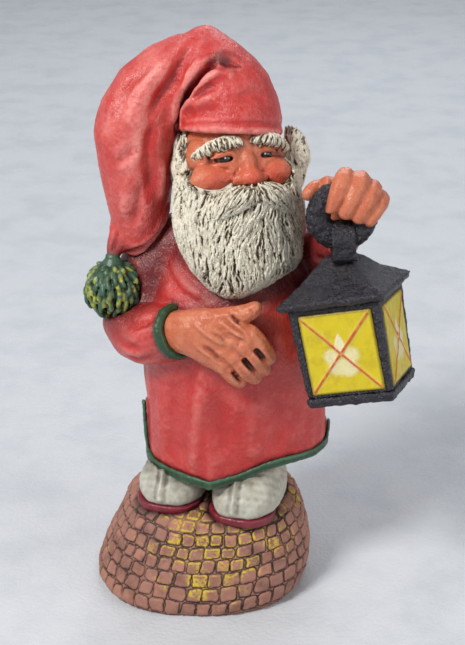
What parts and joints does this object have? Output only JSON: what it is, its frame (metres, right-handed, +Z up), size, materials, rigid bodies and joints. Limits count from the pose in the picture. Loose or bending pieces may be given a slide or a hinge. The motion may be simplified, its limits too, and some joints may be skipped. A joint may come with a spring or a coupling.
{
  "type": "garden gnome",
  "caption": "Painted garden gnome in a drooping cap, open hand on its belly, other hand holding up a lantern, standing on a cobbled mound.",
  "frame": {"origin": "middle of the mound's flat underside, where it stands on the ground", "axes": "+Z up; the gnome looks towards -Y; +X is towards the gnome's left hand and its lantern"},
  "size_m": [0.1502, 0.1186, 0.268],
  "materials": {
    "mound_stone": "matte brown-mauve paint, dark washed joints, ochre dry brushing",
    "boot_grey": "satin warm light grey paint",
    "sole_maroon": "satin dark red paint",
    "cloth_red": "satin salmon-red paint with darker folds",
    "trim_green": "satin dark green paint",
    "pompom_green": "dark green paint, yellow dry-brushed tips",
    "skin": "satin skin-coloured paint",
    "eye_dark": "gloss dark paint",
    "hair_ivory": "matte off-white paint over brown-grey grooves",
    "lantern_black": "rough blackish paint with worn lighter edges",
    "window_yellow": "satin yellow paint with a painted flame and thin red crossed lines"
  },
  "bodies": {
    "root": {"base_mound": "mound_stone", "boot_right": "boot_grey", "boot_left": "boot_grey", "sole_right": "sole_maroon", "sole_left": "sole_maroon", "tunic": "cloth_red", "sleeve_right": "cloth_red", "sleeve_left": "cloth_red", "hat": "cloth_red", "hem_trim": "trim_green", "cuff_right": "trim_green", "cuff_left": "trim_green", "pompom": "pompom_green", "head": "skin", "hand_right": "skin", "hand_left": "skin", "eye_right": "eye_dark", "eye_left": "eye_dark", "eyebrow_right": "hair_ivory", "eyebrow_left": "hair_ivory", "moustache": "hair_ivory", "beard": "hair_ivory", "hair": "hair_ivory", "lantern_ring": "lantern_black", "lantern_hanger": "lantern_black", "lantern_roof": "lantern_black", "lantern_body": "lantern_black", "lantern_floor": "lantern_black", "lantern_pane_front": "window_yellow", "lantern_pane_right": "window_yellow", "lantern_pane_back": "window_yellow", "lantern_pane_left": "window_yellow"}
  },
  "joints": []
}
